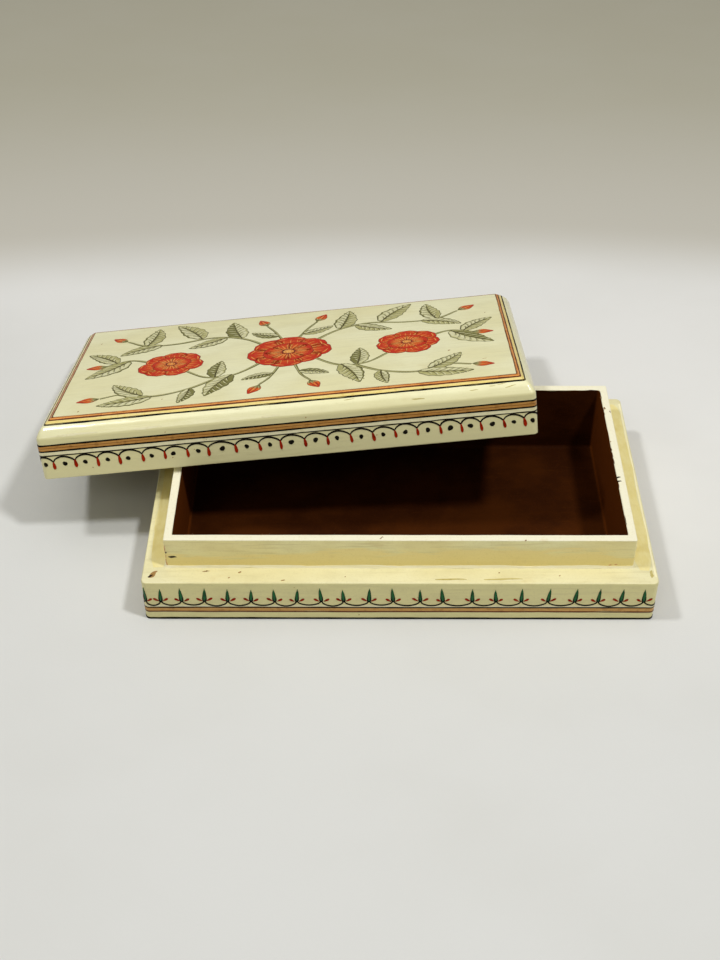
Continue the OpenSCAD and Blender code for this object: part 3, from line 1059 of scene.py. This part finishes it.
def paintLeaf(root, angle, length, bend, half, dice):
    # a serrated leaf: dark outline below, sage body, light strokes on one half and veins over it
    t = np.linspace(0, 1, 17)
    heading = math.radians(angle) + math.radians(bend) * (t - 0.3)
    ahead = join(np.cos(heading), np.sin(heading))
    normal = join(-ahead[:, 1], ahead[:, 0])
    path = np.vstack([[0, 0], np.cumsum(ahead[:-1] * length / 16, axis=0)]) + root
    wide = half * (np.sin(np.pi * t ** 0.8) ** 0.85) * (1 - 0.2 * t)
    wide = wide * (1 + 0.08 * np.sin(t * 2 * np.pi * dice.uniform(4.4, 5.6)) * (t < 0.9))
    onPanel(leafDark, path, wide + 0.34, 0.07)
    onPanel(leafSage, path, wide, 0.082)
    lit = 1 if dice.random() < 0.5 else -1      # the half that catches the light
    onPanel(leafGlow, path[1:16] + normal[1:16] * (lit * wide[1:16] * 0.5)[:, None], wide[1:16] * 0.36, 0.092)
    for i in range(2, 14, 2):
        for side in (-1, 1):
            reach = np.linspace(0, 1, 5)[:, None]
            tip = path[i + 2] + normal[i] * side * wide[i] * 0.84
            vein = path[i] + (tip - path[i]) * reach + ahead[i] * 0.5 * np.sin(np.pi * reach)
            onPanel(leafFine, vein, np.linspace(0.21, 0.08, 5), 0.12)
            if side != lit:
                onPanel(leafGlow, vein[1:] + ahead[i] * 0.8, (0.14, 0.24, 0.2, 0.08), 0.105)
            else:
                onPanel(leafSage, vein[1:] + ahead[i] * 0.7, (0.1, 0.2, 0.16, 0.06), 0.105)
    onPanel(leafFine, path[:15], np.linspace(0.4, 0.14, 15), 0.128)


def paintPetal(centre, angle, length, petalWide, up, bow, radius, outer):
    t = np.linspace(0, 1, 13)
    ahead, across = facing(angle), facing(angle + math.pi / 2)
    spot = lambda s, aside: centre + np.outer(s * length, ahead) + np.outer(aside, across)
    path = spot(t, 0.05 * length * np.sin(t * 3) * bow)
    wide = length * petalWide * spray["petal"]
    onPanel(petalDark, np.vstack([path[:-1], path[-1] + ahead * 0.25]), wide + 0.32, up)
    onPanel(petalRed, path, wide, up + 0.012)
    for j in range(-4, 5):
        fan = j / 4.6
        ends = (0.12, 0.66 - 0.12 * abs(fan)) if j % 2 else (0.3, 0.84 - 0.1 * abs(fan))
        s = np.linspace(*ends, 5)
        onPanel(petalFine if j % 2 else petalGlow, spot(s, np.interp(s, t, wide) * fan),
                np.array([0.06, 0.13, 0.15, 0.1, 0.04]) * (1 + 0.02 * radius), up + 0.022)
    for side in (-1, 1) if outer else ():       # a light touch along the petal's rim
        s = np.linspace(0.80, 0.93, 4)
        line = spot(s, np.interp(s, t, wide) * side * (0.78, 0.7, 0.55, 0.3))
        onPanel(petalGlow, line, (0.1, 0.28, 0.26, 0.08), up + 0.024)


def paintRosette(x, y, radius, petals, dice):
    centre = np.array([x, y])
    for reach, twist, petalWide, up in ((1.0, 0, 0.40, 0.075), (0.62, 0.5, 0.432, 0.11)):
        for k in range(petals):
            angle = 2 * math.pi * (k + twist) / petals + dice.uniform(-0.05, 0.05) + math.pi / 2
            length = radius * reach * dice.uniform(0.94, 1.05)
            paintPetal(centre, angle, length, petalWide, up, dice.uniform(-1, 1), radius, not twist)
    addDot(petalDark, layOnPanel, centre, radius * 0.17, 0.148, 0.05)
    addDot(petalGlow, layOnPanel, centre, radius * 0.13, 0.16, 0.06)
    for k in range(9):
        around = radius * facing(2 * math.pi * k / 9)
        addDot(petalFine, layOnPanel, centre + 0.085 * around, 0.24, 0.17)
        addDot(petalGlow, layOnPanel, centre + 0.24 * around, 0.3, 0.17)


def paintBud(root, angle, length):
    a = math.radians(angle)
    t = np.linspace(0, 1, 9)
    path = root + np.outer(t * length, facing(a))
    wide = length * spray["budWide"] * spray["bud"]
    onPanel(petalDark, path, wide + 0.22, 0.08)
    onPanel(petalRed, path, wide, 0.095)
    for side in (-0.4, 0, 0.4):
        offset = np.outer(wide[1:8] * side, facing(a + math.pi / 2))
        onPanel(petalFine if side else petalGlow, path[1:8] + offset,
                (0.1, 0.2, 0.25, 0.25, 0.2, 0.14, 0.05), 0.11)
    for side in (-0.5, 0, 0.5):     # sepals
        sepal = root - facing(a) * 0.6 + np.outer(t * length * 0.5, facing(a + side))
        onPanel(leafSage, sepal, 0.62 * spray["bud"], 0.12)
        onPanel(leafFine, sepal[:6], np.linspace(0.16, 0.05, 6), 0.13)


def paintSpray():
    dice = random.Random("spray")
    for side in (-1, 1):
        for half, *points in spray["stems"]:
            path = curveThrough([(side * x, y) for x, y in points], 26)
            taper = np.linspace(1.15, 0.7, 26) * (1 + 0.12 * np.sin(np.arange(26) * 0.9 + dice.uniform(0, 6)))
            onPanel(leafDark, path, half * taper + 0.24, 0.07)
            onPanel(leafSage, path, half * taper, 0.085)
        for x, y, angle, bend, length in spray["leaves"]:
            angle += dice.uniform(-4, 4)
            length *= dice.uniform(0.97, 1.06)
            paintLeaf((side * x, y), angle if side == 1 else 180 - angle, length, bend * side,
                      length * spray["leafWide"], dice)
        for x, y, angle in spray["buds"]:
            paintBud(np.array([side * x, y]), angle if side == 1 else 180 - angle,
                     spray["budLength"] * dice.uniform(0.94, 1.06))
    for x, y, radius, petals in spray["rosettes"]:
        paintRosette(x, y, radius, petals, dice)


paintSpray()


# The paints: main, thin and dense colour, then what differs from the usual

paints = {
    "lampBlack": ("#0F0C07", "#201B11", "#080603", {"load": 3.0, "gloss": 0.02, "shine": 0.06}),
    "ochreBrown": ("#B68038", "#C6934C", "#976828",
                   {"edge": "#845622", "edgeAt": (0.85, 1.15), "gloss": 0.1}),
    "ochreLight": ("#C89448", "#D2A25A", "#AA7634", {"edge": "#946428", "edgeAt": (0.95, 1.2), "gloss": 0.1}),
    "burntUmber": ("#582408", "#743A12", "#381605", {"gloss": 0.05, "shine": 0.2}),
    "vermilion": ("#9C1C01", "#AC2C03", "#620E01",
                  {"edge": "#4E1203", "edgeAt": (1.0, 1.25), "gloss": 0, "shine": 0.06}),
    "naplesYellow": ("#EFD67C", "#F2E09C", "#E2C05A", {}),
    "salmonEarth": ("#E29040", "#EAA65A", "#CE7428", {"gloss": 0.12}),
    "viridian": ("#0A5426", "#186A36", "#063018", {"gloss": 0.04, "shine": 0.15}),
    "petalOutline": ("#6C1406", "#80240C", "#4A0C04", {"gloss": 0.12}),
    "petalRed": ("#E05E16", "#EC7E24", "#CA400C",
                 {"tip": "#C42806", "tipAt": (0.6, 1.15), "gloss": 0.06, "shine": 0.2}),
    "petalStroke": ("#8E1808", "#A42A12", "#6C0E04", {}),
    "petalLight": ("#F09A40", "#F4B662", "#E47E2C", {}),
    "leafOutline": ("#3A3614", "#504C22", "#26220C", {"gloss": 0.12}),
    "leafSage": ("#B4B072", "#CAC690", "#8E8B4A", {"shade": "#6E6C2E", "gloss": 0.2}),
    "leafVein": ("#423E16", "#5A5428", "#2C280E", {"gloss": 0.12}),
    "leafLight": ("#DCD9A8", "#E8E5BE", "#C6C48C", {}),
    "gessoFillet": ("#FCF6D2", "#F8F0C2", "#EEE4AE", {"load": 9, "pooled": 0.5, "gloss": 0.05}),
    "buffWash": ("#EDE09C", "#F2E7AC", "#DFCE82", {"load": 12, "gloss": 0.05}),
    "barePulp": ("#9A7440", "#B08C54", "#5E3C1A", {"load": 1.0, "gloss": 0}),
    "darkPulp": ("#1E1208", "#33200F", "#0C0703", {"load": 1.0, "gloss": 0}),
    "trayBrown": ("#4A2408", "#6A4420", "#331503", {"load": 2, "gloss": 0, "shine": 0.1}),
    "rimPulp": ("#8E6A44", "#A8865C", "#4E3018", {"load": 1.0, "gloss": 0}),
    "paleScuff": ("#ECE7C2", "#E9E2B6", "#DAD2A0", {"load": 3, "gloss": 0}),
    "oliveScuff": ("#B9AA62", "#CDBF7E", "#9A8A44", {"load": 3, "gloss": 0}),
    "redClay": ("#CE7E60", "#DC987A", "#AC5C42", {"load": 1.5, "gloss": 0}),
}
for painting in paintings:
    finishPaint(painting)
print("paint done")


# Camera, floor and light

viewLook = {
    "focal": 52.56, "sensor": 36, "pitch": 41.63, "yaw": -0.40, "roll": -0.21, "place": (-14.3, -494.2, 464.7),
    # light and lightAt: a pool of light painted on the floor; foldShade and far: shade painted on it far behind
    # the box
    "floor": "#DCDDDB", "foldShade": "#C8C5BB", "far": "#B9B6A5", "cloudy": "#C4C3BA",
    "light": "#E9E9E7", "lightAt": (-70, 120, 0.0, 0.85),       # mm towards the back right, and how much
    "sky": "#FFFAEB", "skyPower": 0.2,
    # place and aim in metres, size, power and colour
    "window_left": ((-0.64, -0.05, 1.3), (0, 0, 0.02), 0.16, 5.8, "#FFFFFF"),
    "window_right": ((0.52, -0.32, 1.3), (0, 0, 0.02), 0.16, 8.5, "#FFFFFF"),
    "soft_top": ((0, 0.2, 1.5), (0, 0.05, 0), 1.3, 3.4, "#FFFBF4"),
    "soft_front": ((-0.5, -1.05, 1.25), (0, 0, 0.02), 0.4, 1.2, "#FFFFFF"),
}


def makeCamera():
    pitch, yaw, roll = [math.radians(viewLook[k]) for k in ("pitch", "yaw", "roll")]
    lens = bpy.data.cameras.new("camera")
    lens.lens, lens.sensor_width = viewLook["focal"], viewLook["sensor"]
    lens.clip_start, lens.clip_end = 0.01, 20
    camera = addObject("camera", lens)
    camera.matrix_world = (Matrix.Translation(Vector(viewLook["place"]) * mm) @ Matrix.Rotation(-yaw, 4, "Z")
                           @ Matrix.Rotation(math.pi / 2 - pitch, 4, "X") @ Matrix.Rotation(roll, 4, "Z"))
    bpy.context.scene.camera = camera


def makeFloor():
    # Pale cotton sheet, woven plain. The eye sees paper-white near the box, painted lighter towards the back right
    # as a pool of light, and a warmer grey painted as shade far behind it.
    bpy.ops.object.select_all(action="DESELECT")
    bpy.ops.mesh.primitive_plane_add(size=5, location=(0, 0, 0))
    floor = bpy.context.object
    floor.name = "floor"
    mat = newMaterial("paleCottonSheet")
    points = levelPoints(mat, False)
    flat = mapped(mat, points, (0.42, 1, 0), Location=(0, 22, 0))
    reach = addNode(mat, "VectorMath", {"operation": "LENGTH"}, {0: flat}).outputs["Value"]
    across, back, up = splitUp(mat, points)
    colour = tint(mat, viewLook["floor"], viewLook["light"], addMath(mat, "MULTIPLY_ADD", across, 0.6, back),
                  *viewLook["lightAt"])
    colour = tint(mat, colour, viewLook["foldShade"], reach, 228, 300)
    colour = tint(mat, colour, viewLook["far"], reach, 270, 520)
    soft = stretched(mat, points, (120, 90, 90), 3.0, 0.55)
    colour = tint(mat, colour, viewLook["cloudy"], soft, 0.35, 0.7, 0.0, 0.12)
    weave = stretched(mat, points, (0.8, 0.8, 0.8), 2.0, 0.5)
    finishMaterial(mat, colour, 0.9, addBump(mat, weave, 0.08 * mm, 0.5), {"Specular IOR Level": 0.2})
    floor.data.materials.append(mat)


def addLamp(name, place, aim, size, power, colour):
    lamp = bpy.data.lights.new(name, "AREA")
    lamp.shape = "DISK"
    lamp.size = size
    lamp.energy = power
    lamp.color = paintColour(colour)[:3]
    holder = addObject(name, lamp)
    holder.location = place
    holder.rotation_euler = (Vector(aim) - Vector(place)).to_track_quat("-Z", "Y").to_euler()


def makeLight():
    for name in ("window_left", "window_right", "soft_top", "soft_front"):
        addLamp(name, *viewLook[name])
    world = bpy.data.worlds.new("studio")
    world.use_nodes = True
    sky = world.node_tree.nodes["Background"].inputs
    sky["Color"].default_value = paintColour(viewLook["sky"])
    sky["Strength"].default_value = viewLook["skyPower"]
    bpy.context.scene.world = world
    bpy.context.scene.view_settings.view_transform = "Standard"


makeCamera()
makeFloor()
makeLight()
print("camera, floor and light done")
